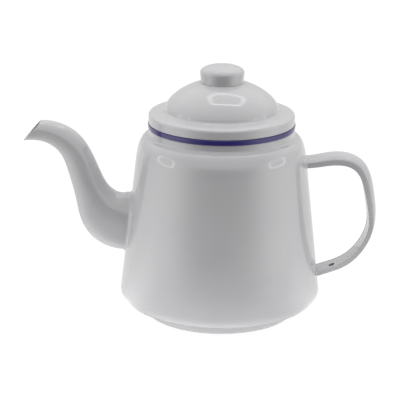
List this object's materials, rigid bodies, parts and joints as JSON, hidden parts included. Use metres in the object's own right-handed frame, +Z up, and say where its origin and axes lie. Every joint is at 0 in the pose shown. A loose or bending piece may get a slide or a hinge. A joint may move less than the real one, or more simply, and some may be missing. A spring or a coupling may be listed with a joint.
{
  "type": "teapot",
  "caption": "Enamelled sheet-steel teapot with tapering round body, S-curved spout, loop handle, rolled rim and a lift-off domed lid with a cap knob.",
  "frame": {"origin": "on the surface that the teapot stands on, under the middle of its whole length from spout lip to handle", "axes": "+X towards the handle (the spout points to -X), +Y towards the far side when the handle is on the right, +Z up"},
  "size_m": [0.2472, 0.1408, 0.178],
  "materials": {
    "white_enamel": "glossy white vitreous enamel on steel sheet",
    "blue_enamel": "glossy dark blue vitreous enamel on the rolled rim"
  },
  "bodies": {
    "pot": {"body_shell": "white_enamel", "base_plate": "white_enamel", "rim_bead": "blue_enamel", "spout_near_half": "white_enamel", "spout_far_half": "white_enamel", "handle_outer": "white_enamel", "handle_inner": "white_enamel"},
    "lid": {"lid_shell": "white_enamel", "lid_collar": "white_enamel", "knob_cap": "white_enamel"}
  },
  "joints": [
    {"name": "lid_lift", "type": "slide", "parent": "pot", "child": "lid", "axis": [0, 0, 1], "range_m": [0, 0.06]}
  ]
}
